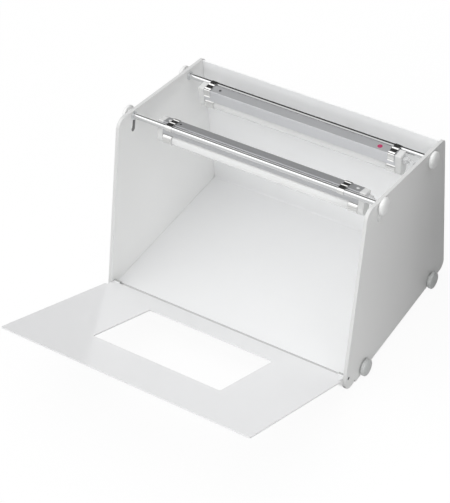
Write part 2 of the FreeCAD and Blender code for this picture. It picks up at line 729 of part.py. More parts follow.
def build_lamp(lamp, rod_centre, tilt, clip_offsets, has_dot):
    """Makes every piece of a lamp and tilts them together about the rod."""
    pieces = [
        lamp_channel(lamp), lamp_cover(lamp), lamp_ballast(lamp),
        lamp_end_cap(lamp, "left", -1.0), lamp_end_cap(lamp, "right", 1.0),
        lamp_collars(lamp), lamp_rivets(lamp), lamp_spring_clips(lamp, clip_offsets),
        lamp_plug(lamp), lamp_lead(lamp), lamp_tube_glass(lamp), lamp_tube_caps(lamp),
    ]
    if has_dot:
        pieces.append(lamp_red_dot(lamp))
    for piece in pieces:
        keep(place(piece, 0.0, *from_panel(*rod_centre), turn=tilt))


# ---------------------------------------------------------------- assembly
side_panel("left_side_panel", True)
side_panel("right_side_panel", False)
backdrop_sheet()

rod("rear_top_rod", REAR_ROD, THROUGH_HALF, dim.rod_rad, dim.stud_rad)
rod("front_bottom_rod", FRONT_TIE, INSIDE_HALF, dim.tie_rad, dim.tie_stud_rad)
rod("rear_bottom_rod", REAR_TIE, INSIDE_HALF, dim.tie_rad, dim.tie_stud_rad)
rod("front_top_rod", FRONT_ROD, THROUGH_HALF, dim.rod_rad, dim.stud_rad)
stop_rings("rear_rod_stop_rings", REAR_ROD)
stop_rings("front_rod_stop_rings", FRONT_ROD)

for side_name, is_right in (("left", False), ("right", True)):
    knob("knob_top_front_" + side_name, FRONT_ROD, is_right, dim.knob_bore_rad)
    knob("knob_top_rear_" + side_name, REAR_ROD, is_right, dim.knob_bore_rad)
    knob("foot_knob_front_" + side_name, FRONT_TIE, is_right, dim.foot_bore_rad)
    knob("foot_knob_rear_" + side_name, REAR_TIE, is_right, dim.foot_bore_rad)

flap_neck()
flap_hinge_pins()
flap_sheet()

build_lamp(Lamp("front_lamp", 1.0, dim.front_lamp_x), FRONT_ROD, dim.front_tilt,
           clip_offsets=(dim.front_clip_left, dim.front_clip_right), has_dot=False)
build_lamp(Lamp("rear_lamp", -1.0, dim.rear_lamp_x), REAR_ROD, dim.rear_tilt,
           clip_offsets=(-dim.rear_clip, dim.rear_clip), has_dot=True)
doc.recompute()

# ---------------------------------------------------------------- checks and files
for obj in doc.Objects:
    faults = [state for state in obj.State if state in ("Invalid", "Error")]
    if faults:
        raise RuntimeError("%s (%s) is %s" % (obj.Name, obj.Label, faults))
for node in nodes:
    shape = node.Shape
    if shape.isNull() or not shape.isValid() or not shape.Solids:
        raise RuntimeError("bad shape in " + node.Label)
    if any(not solid.isClosed() or solid.Volume <= 0 for solid in shape.Solids):
        raise RuntimeError("open solid in " + node.Label)

os.makedirs("parts", exist_ok=True)
for node in nodes:
    node.Shape.exportStep("parts/%s.step" % node.Label)
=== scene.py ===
import json
import math

import bmesh
import bpy
from mathutils import Matrix, Vector

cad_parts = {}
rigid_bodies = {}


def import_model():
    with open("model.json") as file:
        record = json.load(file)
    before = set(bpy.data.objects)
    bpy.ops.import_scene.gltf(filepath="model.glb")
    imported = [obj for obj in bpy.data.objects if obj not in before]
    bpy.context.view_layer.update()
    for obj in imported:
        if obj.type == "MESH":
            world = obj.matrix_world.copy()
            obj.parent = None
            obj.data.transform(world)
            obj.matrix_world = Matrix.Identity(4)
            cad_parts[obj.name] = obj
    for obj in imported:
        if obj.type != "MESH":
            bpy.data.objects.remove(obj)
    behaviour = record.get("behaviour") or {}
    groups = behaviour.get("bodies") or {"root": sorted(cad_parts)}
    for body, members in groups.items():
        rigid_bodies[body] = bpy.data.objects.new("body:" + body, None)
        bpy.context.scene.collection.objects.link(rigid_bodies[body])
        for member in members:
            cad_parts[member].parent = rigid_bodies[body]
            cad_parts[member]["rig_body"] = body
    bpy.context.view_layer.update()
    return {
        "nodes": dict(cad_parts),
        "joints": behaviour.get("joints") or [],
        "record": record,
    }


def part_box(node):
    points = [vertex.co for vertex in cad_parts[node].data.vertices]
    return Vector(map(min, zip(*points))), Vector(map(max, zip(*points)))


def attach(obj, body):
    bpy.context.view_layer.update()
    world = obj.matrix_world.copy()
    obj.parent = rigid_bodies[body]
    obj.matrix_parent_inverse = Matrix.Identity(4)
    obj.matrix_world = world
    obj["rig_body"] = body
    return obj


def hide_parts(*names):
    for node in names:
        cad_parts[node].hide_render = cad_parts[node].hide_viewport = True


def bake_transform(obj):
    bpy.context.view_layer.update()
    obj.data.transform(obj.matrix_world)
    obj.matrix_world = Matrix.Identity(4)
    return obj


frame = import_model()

NODES, JOINTS = frame["nodes"], {j["name"]: j for j in frame["joints"]}
MM = 0.001


# ------------------------------------------------------------------ shader helpers
class Mat:
    """A node material: Principled surface with layers added one at a time."""

    def __init__(self, name):
        self.m = bpy.data.materials.new(name)
        self.m.use_nodes = True
        self.t = self.m.node_tree
        self.b = self.t.nodes["Principled BSDF"]
        self.co = self.add("ShaderNodeTexCoord").outputs["Object"]

    def add(self, kind, **kw):
        n = self.t.nodes.new(kind)
        for k, v in kw.items():
            setattr(n, k, v)
        return n

    def link(self, a, b):
        self.t.links.new(a, b)

    def put(self, sock, value):
        if hasattr(value, "is_output"):
            self.link(value, sock)
        else:
            sock.default_value = value
        return sock

    def mapped(self, scale=(1, 1, 1), loc=(0, 0, 0), rot=(0, 0, 0)):
        n = self.add("ShaderNodeMapping")
        self.link(self.co, n.inputs["Vector"])
        n.inputs["Scale"].default_value = scale
        n.inputs["Location"].default_value = loc
        n.inputs["Rotation"].default_value = rot
        return n.outputs["Vector"]

    def noise(self, scale, detail=3.0, rough=0.5, vec=None, distort=0.0):
        n = self.add("ShaderNodeTexNoise")
        self.link(vec if vec is not None else self.co, n.inputs["Vector"])
        n.inputs["Scale"].default_value = scale
        n.inputs["Detail"].default_value = detail
        n.inputs["Roughness"].default_value = rough
        n.inputs["Distortion"].default_value = distort
        return n.outputs["Fac"]

    def ramp(self, fac, lo, hi, to_lo=0.0, to_hi=1.0):
        n = self.add("ShaderNodeMapRange", clamp=True)
        self.link(fac, n.inputs["Value"])
        for k, v in (("From Min", lo), ("From Max", hi), ("To Min", to_lo), ("To Max", to_hi)):
            n.inputs[k].default_value = v
        return n.outputs["Result"]

    def math(self, op, a, b=0.0):
        n = self.add("ShaderNodeMath", operation=op)
        self.put(n.inputs[0], a)
        self.put(n.inputs[1], b)
        return n.outputs[0]

    def mix(self, fac, a, b):
        n = self.add("ShaderNodeMix", data_type="RGBA")
        self.put(n.inputs[0], fac)
        self.put(n.inputs[6], a)
        self.put(n.inputs[7], b)
        return n.outputs[2]

    def edge(self, radius, lo=0.02, hi=0.25):
        """1 on convex and concave edges within radius, 0 on flats."""
        bev = self.add("ShaderNodeBevel", samples=4)
        bev.inputs["Radius"].default_value = radius
        geo = self.add("ShaderNodeNewGeometry")
        dot = self.add("ShaderNodeVectorMath", operation="DOT_PRODUCT")
        self.link(bev.outputs[0], dot.inputs[0])
        self.link(geo.outputs["Normal"], dot.inputs[1])
        inv = self.math("SUBTRACT", 1.0, dot.outputs["Value"])
        return self.ramp(inv, lo, hi)

    def xyz(self):
        n = self.add("ShaderNodeSeparateXYZ")
        self.link(self.co, n.inputs[0])
        return n.outputs

    def bump(self, height, strength, distance=0.0002, normal=None):
        n = self.add("ShaderNodeBump")
        n.inputs["Strength"].default_value = strength
        n.inputs["Distance"].default_value = distance
        self.link(height, n.inputs["Height"])
        if normal is not None:
            self.link(normal, n.inputs["Normal"])
        self.link(n.outputs[0], self.b.inputs["Normal"])
        return n.outputs[0]

    def surface(self, color=None, **kw):
        if color is not None:
            self.put(self.b.inputs["Base Color"], color)
        for k, v in kw.items():
            self.put(self.b.inputs[k.replace("_", " ")], v)
        return self.m


def rgb(*c):
    return (c[0], c[1], c[2], 1.0)


def panel_material(name, tone, rough, edge_tone, grain=0.25, coat=0.0, spec=0.5, painted_light_lift=0.0, cut=None, lug=False):
    """White sheet plastic: faint cloudiness, fine orange peel, lighter cut edges, soft scuffs."""
    m = Mat(name)
    cloud = m.noise(7.0, 4.0, 0.55)
    fine = m.noise(900.0, 3.0, 0.6)
    scuff = m.noise(60.0, 6.0, 0.7, vec=m.mapped(scale=(1, 1, 0.25), rot=(0.3, 0.5, 0.2)))
    base = m.mix(m.ramp(cloud, 0.3, 0.7), rgb(*[c * 0.985 for c in tone]), rgb(*tone))
    if painted_light_lift:
        # painted light: the upright part of the bent sheet is set paler than the part that lies down, standing in for
        # the stronger light on it
        base = m.mix(m.ramp(m.xyz()[2], 0.02, 0.07), base, rgb(*[min(0.97, c + painted_light_lift) for c in tone]))
    if cut:
        # sawn and scraped edge faces are duller than the broad faces
        side = m.add("ShaderNodeSeparateXYZ")
        m.link(m.add("ShaderNodeNewGeometry").outputs["Normal"], side.inputs[0])
        base = m.mix(m.ramp(m.math("ABSOLUTE", side.outputs[0]), 0.45, 0.85), rgb(*cut), base)
        # painted shade: edge walls that face the table are set darker, standing in for the shade under the panels
        wall = m.math("LESS_THAN", m.math("ABSOLUTE", side.outputs[0]), 0.5)
        base = m.mix(m.math("MULTIPLY", wall, m.ramp(side.outputs[2], -0.35, 0.0, 1.0, 0.0)), base, rgb(0.30, 0.30, 0.30))
        # painted shade: the wall of the left rod slot is set dark, standing in for the shade inside the slot
        slot = m.math("LESS_THAN", m.math("ABSOLUTE", side.outputs[0]), 0.5)
        px, py, pz = m.xyz()
        for far in (m.math("LESS_THAN", px, 0.0),
                    m.math("LESS_THAN", m.math("ABSOLUTE", m.math("SUBTRACT", py, 0.0745)), 0.0105),
                    m.math("LESS_THAN", m.math("ABSOLUTE", m.math("SUBTRACT", pz, 0.2545)), 0.0165)):
            slot = m.math("MULTIPLY", slot, far)
        base = m.mix(slot, base, rgb(0.26, 0.26, 0.26))
    if lug:
        # painted shade: the back of each hinge lug, in the gap behind the flap, is set darker
        px, py, pz = m.xyz()
        back = m.math("GREATER_THAN", m.math("ABSOLUTE", px), 0.1836)
        for far in (m.math("GREATER_THAN", py, -0.0216), m.math("GREATER_THAN", pz, 0.0195)):
            back = m.math("MULTIPLY", back, far)
        base = m.mix(back, base, rgb(0.48, 0.485, 0.48))
        # painted shade: the lower side of the right hinge lug is set dark as well
        under = m.math("MULTIPLY", m.math("GREATER_THAN", px, 0.1836), m.math("LESS_THAN", pz, 0.0224))
        base = m.mix(under, base, rgb(0.30, 0.30, 0.30))
    base = m.mix(m.math("MULTIPLY", m.edge(0.0007), 0.6), base, rgb(*edge_tone))
    r = m.math("ADD", m.ramp(scuff, 0.45, 0.75, rough, rough + 0.10), m.ramp(fine, 0.0, 1.0, -0.02, 0.02))
    h = m.math("ADD", m.math("MULTIPLY", fine, grain), m.math("MULTIPLY", cloud, 0.6))
    m.bump(h, 0.10, 0.00012)
    return m.surface(base, Roughness=r, Coat_Weight=coat, Coat_Roughness=0.08, Specular_IOR_Level=spec)


def metal_material(name, tone, rough, streak=0.0, dirt=0.12, scratch=0.25, metallic=1.0, back=1.0, painted_rim_highlight=False, inner=None):
    """Plated or drawn metal: streaks along X, fine scratches, darker blotches here and there."""
    m = Mat(name)
    lines = m.noise(700.0, 2.0, 0.5, vec=m.mapped(scale=(0.02, 1, 1)))
    blotch = m.noise(45.0, 4.0, 0.6)
    wear = m.edge(0.0005)
    a = m.mix(m.ramp(lines, 0.35, 0.65), rgb(*[c * (1 - streak) for c in tone]), rgb(*tone))
    a = m.mix(m.math("MULTIPLY", m.ramp(blotch, 0.5, 0.8), dirt), a, rgb(*[c * 0.72 for c in tone]))
    a = m.mix(m.math("MULTIPLY", wear, 0.35), a, rgb(*[min(1.0, c * 1.15 + 0.03) for c in tone]))
    if back != 1.0:
        # painted light and shade: the rear lamp is set paler than the front one, standing in for the stronger light on
        # it, and the rear rod darker along the lamp, standing in for the lamp's shade on it
        span = m.ramp(m.math("ABSOLUTE", m.xyz()[0]), 0.153, 0.158, 1.0, 0.0)
        a = m.mix(m.math("MULTIPLY", span, m.ramp(m.xyz()[1], 0.12, 0.17)), a, rgb(*[min(1.0, c * back) for c in tone]))
    r = m.math("ADD", m.ramp(lines, 0.3, 0.7, rough, rough * (1.0 + scratch)), m.ramp(blotch, 0.4, 0.8, 0.0, 0.03))
    m.bump(lines, 0.05, 0.00005)
    if inner:
        # only the outer ends are blackened
        a = m.mix(m.ramp(m.math("ABSOLUTE", m.xyz()[0]), 0.190, 0.194), rgb(*inner), a)
    if painted_rim_highlight:
        # painted highlight: a pale matt band along the upper back of the front rod stands in for a bright rim of light
        n = m.add("ShaderNodeSeparateXYZ")
        m.link(m.add("ShaderNodeNewGeometry").outputs["Normal"], n.inputs[0])
        painted_rim_mask = m.math("MULTIPLY", m.ramp(n.outputs[1], 0.10, 0.22), m.ramp(n.outputs[2], 0.2, 0.4))
        painted_rim_mask = m.math("MULTIPLY", painted_rim_mask, m.ramp(m.xyz()[1], 0.12, 0.17, 1.0, 0.0))
        a = m.mix(painted_rim_mask, a, rgb(0.95, 0.95, 0.95))
        metallic = m.math("SUBTRACT", metallic, m.math("MULTIPLY", painted_rim_mask, 0.9))
    return m.surface(a, Metallic=metallic, Roughness=r)


def moulded_material(name, tone, rough, shade=0.94, coat=0.0):
    """Moulded plastic: spark-eroded grain, faint darker clouding, rubbed edges."""
    m = Mat(name)
    grain = m.noise(2200.0, 2.0, 0.5)
    cloud = m.noise(120.0, 3.0, 0.6)
    base = m.mix(m.ramp(cloud, 0.3, 0.75), rgb(*[c * shade for c in tone]), rgb(*tone))
    base = m.mix(m.math("MULTIPLY", m.edge(0.0005), 0.4), base, rgb(*[min(1.0, c * 1.1 + 0.02) for c in tone]))
    r = m.ramp(grain, 0.3, 0.7, rough, rough + 0.08)
    m.bump(grain, 0.12, 0.00006)
    return m.surface(base, Roughness=r, Coat_Weight=coat, Coat_Roughness=0.1)


M = {}
# this panel also gets painted shade on its downward edge walls and on the wall of the left rod slot
M["white_panel"] = panel_material("white_panel", (0.895, 0.898, 0.892), 0.38, (0.86, 0.865, 0.865), spec=0.35, cut=(0.72, 0.725, 0.72))
# the upright part of this sheet gets a painted paler tone, standing in for light
M["white_sheet"] = panel_material("white_sheet", (0.855, 0.86, 0.864), 0.55, (0.95, 0.955, 0.955), grain=0.5, spec=0.25, painted_light_lift=0.08)
# the flap gets painted shade on the back and the lower side of its hinge lugs
M["flap_white"] = panel_material("flap_white", (0.865, 0.868, 0.875), 0.13, (0.93, 0.935, 0.935), grain=0.05, lug=True)
# the rear rod gets painted shade along the rear lamp, and the front rod a painted highlight along its upper back
M["chrome_rod"] = metal_material("chrome_rod", (0.78, 0.785, 0.79), 0.06, streak=0.05, back=0.52, painted_rim_highlight=True)
M["chrome_clip"] = metal_material("chrome_clip", (0.84, 0.84, 0.83), 0.06, streak=0.03, dirt=0.2)
M["zinc_steel"] = metal_material("zinc_steel", (0.80, 0.81, 0.82), 0.34, streak=0.12)
# the rear lamp is painted paler than the front one, standing in for light
M["lamp_grey"] = metal_material("lamp_grey", (0.573, 0.58, 0.594), 0.34, streak=0.06, dirt=0.06, metallic=0.55, back=1.2)
M["dark_steel"] = metal_material("dark_steel", (0.05, 0.05, 0.053), 0.5, streak=0.1, metallic=0.2, inner=(0.75, 0.75, 0.75))
M["lamp_white"] = moulded_material("lamp_white", (0.76, 0.765, 0.76), 0.34)
M["cover_white"] = panel_material("cover_white", (0.86, 0.86, 0.86), 0.40, (0.93, 0.93, 0.93))
M["knob_white"] = moulded_material("knob_white", (0.88, 0.885, 0.88), 0.28)
M["knob_grey"] = moulded_material("knob_grey", (0.64, 0.655, 0.65), 0.36)
M["dot_red"] = moulded_material("dot_red", (0.52, 0.05, 0.15), 0.25, shade=0.8)
M["tube_metal"] = metal_material("tube_metal", (0.75, 0.76, 0.77), 0.25, streak=0.1)


def tube_material():
    """Phosphor coated glass: milky, faint greying towards the ends, glossy outer skin."""
    m = Mat("tube_white")
    cloud = m.noise(30.0, 3.0, 0.5, vec=m.mapped(scale=(0.3, 1, 1)))
    fine = m.noise(1500.0, 2.0, 0.5)
    ends = m.ramp(m.math("ABSOLUTE", m.xyz()[0]), 0.120, 0.143)
    base = m.mix(m.ramp(cloud, 0.35, 0.7), rgb(0.84, 0.845, 0.84), rgb(0.86, 0.865, 0.865))
    base = m.mix(m.math("MULTIPLY", ends, 0.35), base, rgb(0.64, 0.645, 0.64))
    m.bump(fine, 0.05, 0.00003)
    return m.surface(base, Roughness=m.ramp(fine, 0.2, 0.8, 0.22, 0.28), Specular_IOR_Level=0.8, Coat_Weight=0.9, Coat_Roughness=0.20, Coat_IOR=1.7)


def clear_material():
    """Clear moulded plastic with a little haze."""
    m = Mat("clear_plastic")
    haze = m.noise(260.0, 3.0, 0.6)
    m.bump(m.noise(700.0, 2.0, 0.5), 0.15, 0.00008)
    base = m.mix(m.ramp(haze, 0.3, 0.7), rgb(0.86, 0.87, 0.875), rgb(0.93, 0.935, 0.94))
    return m.surface(base, Roughness=m.ramp(haze, 0.3, 0.7, 0.14, 0.28), Transmission_Weight=0.35, IOR=1.40)


def board_material():
    """Lacquered board and wound and boxed parts, mixed in patches by noise."""
    m = Mat("board_green")
    z = m.noise(35.0, 2.0, 0.5, vec=m.mapped(scale=(1, 0.2, 0.2)))
    fine = m.noise(500.0, 4.0, 0.6)
    parts = m.mix(m.ramp(z, 0.42, 0.58), rgb(0.36, 0.20, 0.05), rgb(0.06, 0.06, 0.07))
    lac = m.mix(m.ramp(fine, 0.45, 0.6), rgb(0.05, 0.14, 0.07), rgb(0.10, 0.24, 0.12))
    geo = m.add("ShaderNodeNewGeometry")
    sep = m.add("ShaderNodeSeparateXYZ")
    m.link(geo.outputs["Normal"], sep.inputs[0])
    base = m.mix(m.ramp(fine, 0.3, 0.7, 0.35, 0.65), lac, parts)
    m.bump(fine, 0.3, 0.0002)
    return m.surface(base, Roughness=0.35)


M["tube_white"] = tube_material()
M["clear_plastic"] = clear_material()
M["board_green"] = board_material()
M["lead_flex"] = moulded_material("lead_flex", (0.80, 0.81, 0.815), 0.22, coat=0.3)

SLOT = {s["node"]: s["material_slot"] for s in frame["record"]["subparts"]}
for n, o in NODES.items():
    o.data.materials.clear()
    o.data.materials.append(M[SLOT[n]])

# ------------------------------------------------------------------ mesh helpers
def new_object(name, bm, mat, body, smooth=True, replaces=()):
    bmesh.ops.recalc_face_normals(bm, faces=bm.faces)
    me = bpy.data.meshes.new(name)
    bm.to_mesh(me)
    bm.free()
    for p in me.polygons:
        p.use_smooth = smooth
    me.materials.append(M[mat])
    ob = bpy.data.objects.new(name, me)
    bpy.context.scene.collection.objects.link(ob)
    if body:
        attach(ob, body)
    if replaces:
        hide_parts(*replaces)
    return ob


def weighted(ob):
    w = ob.modifiers.new("normals", "WEIGHTED_NORMAL")
    w.mode, w.weight, w.keep_sharp = "FACE_AREA", 50, True
    return ob


def round_edges(bm, width, segments=2, angle=30.0, pick=None):
    limit = math.radians(angle)
    edges = [e for e in bm.edges if len(e.link_faces) == 2 and e.calc_face_angle(0.0) > limit and (pick is None or pick(e))]
    bmesh.ops.bevel(bm, geom=edges, offset=width, segments=segments, profile=0.5, affect="EDGES", clamp_overlap=True, offset_type="OFFSET")
    bmesh.ops.dissolve_degenerate(bm, dist=1e-7, edges=bm.edges)


def cad_mesh(node):
    """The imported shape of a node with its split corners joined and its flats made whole."""
    bm = bmesh.new()
    bm.from_mesh(NODES[node].data)
    bmesh.ops.remove_doubles(bm, verts=bm.verts, dist=2e-6)
    bmesh.ops.recalc_face_normals(bm, faces=bm.faces)
    bmesh.ops.dissolve_limit(bm, angle_limit=math.radians(0.3), use_dissolve_boundaries=False, verts=bm.verts, edges=bm.edges)
    return bm


def finished(node, width, segments=2, angle=30.0, suffix="_body"):
    """A node's own shape with broken edges, standing for the node."""
    bm = cad_mesh(node)
    round_edges(bm, width, segments, angle)
    body = NODES[node]["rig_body"]
    return weighted(new_object(node + suffix, bm, SLOT[node], body, replaces=(node,)))


def lathe(bm, profile, matrix, segments=96):
    """Closed ring of (x, r) points turned about X; points on the axis close the shape."""
    rings = []
    for x, r in profile:
        if r < 1e-9:
            rings.append([bm.verts.new(matrix @ Vector((x, 0, 0)))])
        else:
            rings.append([bm.verts.new(matrix @ Vector((x, r * math.cos(2 * math.pi * k / segments), r * math.sin(2 * math.pi * k / segments)))) for k in range(segments)])
    n = len(rings)
    for i in range(n):
        a, b = rings[i], rings[(i + 1) % n]
        for k in range(segments):
            j = (k + 1) % segments
            if len(a) == 1 and len(b) == 1:
                continue
            if len(a) == 1:
                bm.faces.new((a[0], b[k], b[j]))
            elif len(b) == 1:
                bm.faces.new((a[k], b[0], a[j]))
            else:
                bm.faces.new((a[k], b[k], b[j], a[j]))


def arc(cx, cy, r, a0, a1, steps):
    return [(cx + r * math.cos(math.radians(a0 + (a1 - a0) * i / steps)), cy + r * math.sin(math.radians(a0 + (a1 - a0) * i / steps))) for i in range(steps + 1)]


def rounded(pts, radius, steps=3):
    """Closed outline with its corners replaced by short arcs; radius may be one number or one for each corner."""
    out, n = [], len(pts)
    for i in range(n):
        r = radius[i] if isinstance(radius, (list, tuple)) else radius
        p, a, b = Vector(pts[i]), Vector(pts[i - 1]), Vector(pts[(i + 1) % n])
        if r <= 0:
            out.append(tuple(p))
            continue
        u, v = (a - p), (b - p)
        cosw = max(-0.9999, min(0.9999, u.normalized().dot(v.normalized())))
        half = math.acos(cosw) / 2
        cut = min(r / math.tan(half), 0.45 * u.length, 0.45 * v.length)
        s, e = p + u.normalized() * cut, p + v.normalized() * cut
        for k in range(steps + 1):
            f = k / steps
            out.append(tuple((s * (1 - f) * (1 - f)) + (p * 2 * f * (1 - f)) + (e * f * f)))
    return out


def strip(path, half):
    """Outline of a bent strip of even thickness along an open path."""
    left, right = [], []
    n = len(path)
    for i, p in enumerate(path):
        a, b = Vector(path[max(0, i - 1)]), Vector(path[min(n - 1, i + 1)])
        d = (b - a).normalized()
        nrm = Vector((-d.y, d.x))
        left.append(tuple(Vector(p) + nrm * half))
        right.append(tuple(Vector(p) - nrm * half))
    return left, right


def sweep_tube(bm, pts, radius, segments=16):
    """Round cord along a path, closed at both ends; radius may vary along it."""
    rings = []
    n = len(pts)
    ref = Vector((0, 1, 0))
    for i, p in enumerate(pts):
        d = (Vector(pts[min(n - 1, i + 1)]) - Vector(pts[max(0, i - 1)])).normalized()
        u = (ref - d * ref.dot(d)).normalized()
        w = d.cross(u)
        r = radius[i] if isinstance(radius, (list, tuple)) else radius
        rings.append([bm.verts.new(Vector(p) + (u * math.cos(2 * math.pi * k / segments) + w * math.sin(2 * math.pi * k / segments)) * r) for k in range(segments)])
    for i in range(n - 1):
        for k in range(segments):
            j = (k + 1) % segments
            bm.faces.new((rings[i][k], rings[i][j], rings[i + 1][j], rings[i + 1][k]))
    bm.faces.new(rings[0][::-1])
    bm.faces.new(rings[-1])


# ------------------------------------------------------------------ cabinet
for side in ("left", "right"):
    finished(side + "_side_panel", 0.00055, 3)
finished("backdrop_sheet", 0.00035, 2)
finished("rear_rod_stop_rings", 0.00025, 2)
finished("front_rod_stop_rings", 0.00025, 2)

# ------------------------------------------------------------------ knobs
# hub on the panel, undercut back of the rim, rim, a fine step, and the domed face
KNOB = [(0.15, 7.5), (0.22, 7.8), (0.45, 8.0), (2.0, 8.0), (2.3, 8.12), (2.5, 8.5), (2.5, 11.2)] + arc(3.6, 11.4, 1.1, 180, 90, 6)[1:] \
    + [(6.4, 12.5), (7.0, 12.46), (7.5, 12.3), (7.95, 12.0), (8.3, 11.55), (8.5, 11.05), (8.48, 10.75), (8.62, 10.5), (8.85, 9.9), (9.25, 8.6), (9.62, 7.0), (9.9, 5.2), (10.08, 3.6), (10.16, 2.4), (10.14, 1.6), (10.0, 1.2), (9.97, 0.0)]


# the top knobs are plain and more strongly crowned
CROWNED = KNOB[:7] + arc(3.6, 11.4, 1.1, 180, 90, 6)[1:] + [(4.9, 12.5)] \
    + [(4.9 + 5.26 * math.cos(math.radians(t)), 12.5 * math.sin(math.radians(t)) ** 0.82) for t in (84, 78, 72, 66, 60, 54, 48, 42, 36, 30, 24, 18, 12, 6)] + [(10.16, 0.0)]


def knob(node):
    lo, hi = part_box(node)
    c = (lo + hi) / 2
    right = c.x > 0
    bore = 2.55 if node.startswith("foot") else 3.05
    base = 0.200
    m = Matrix.Translation((base if right else -base, c.y, c.z)) @ Matrix.Rotation(0.0 if right else math.pi, 4, "Z") @ Matrix.Scale(MM, 4)
    prof = (KNOB if node.startswith("foot") else CROWNED) + [(8.45, 0.0), (8.45, bore - 0.3), (8.15, bore), (0.5, bore), (0.15, bore + 0.35)]
    bm = bmesh.new()
    lathe_open(bm, prof, m, 96)
    return weighted(new_object(node + "_moulding", bm, SLOT[node], NODES[node]["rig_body"], replaces=(node,)))


def lathe_open(bm, prof, m, segments):
    """As lathe, for an outline that touches the axis twice: face side first, then the blind end of the bore."""
    i = [k for k, (x, r) in enumerate(prof) if r < 1e-9]
    rings = []
    for x, r in prof:
        if r < 1e-9:
            rings.append([bm.verts.new(m @ Vector((x, 0, 0)))])
        else:
            rings.append([bm.verts.new(m @ Vector((x, r * math.cos(2 * math.pi * k / segments), r * math.sin(2 * math.pi * k / segments)))) for k in range(segments)])
    n = len(rings)
    for q in range(n):
        a, b = rings[q], rings[(q + 1) % n]
        if len(a) == 1 and len(b) == 1:
            continue
        for k in range(segments):
            j = (k + 1) % segments
            if len(a) == 1:
                bm.faces.new((a[0], b[k], b[j]))
            elif len(b) == 1:
                bm.faces.new((a[k], b[0], a[j]))
            else:
                bm.faces.new((a[k], b[k], b[j], a[j]))


for n in list(NODES):
    if n.startswith("knob_top") or n.startswith("foot_knob"):
        knob(n)

# ------------------------------------------------------------------ flap: one flat sheet in place of both of its parts, not attached to either body
hinge = Vector(JOINTS["flap_hinge"]["pos_m"])
flex = Vector(JOINTS["flap_flex"]["pos_m"])
FU = (flex - hinge).normalized()                 # away from the hinge, along the sheet
FN = Vector((0, -FU.z, FU.y))
if FN.z < 0:
    FN = -FN                                     # up side of the open flap


def flap_point(x, s, h=0.0):
    return hinge + Vector((x, 0, 0)) * MM + FU * (s * MM) + FN * (h * MM)


def apply_modifiers(ob):
    dg = bpy.context.evaluated_depsgraph_get()
    me = bpy.data.meshes.new_from_object(ob.evaluated_get(dg), preserve_all_data_layers=True, depsgraph=dg)
    ob.modifiers.clear()
    ob.data = me


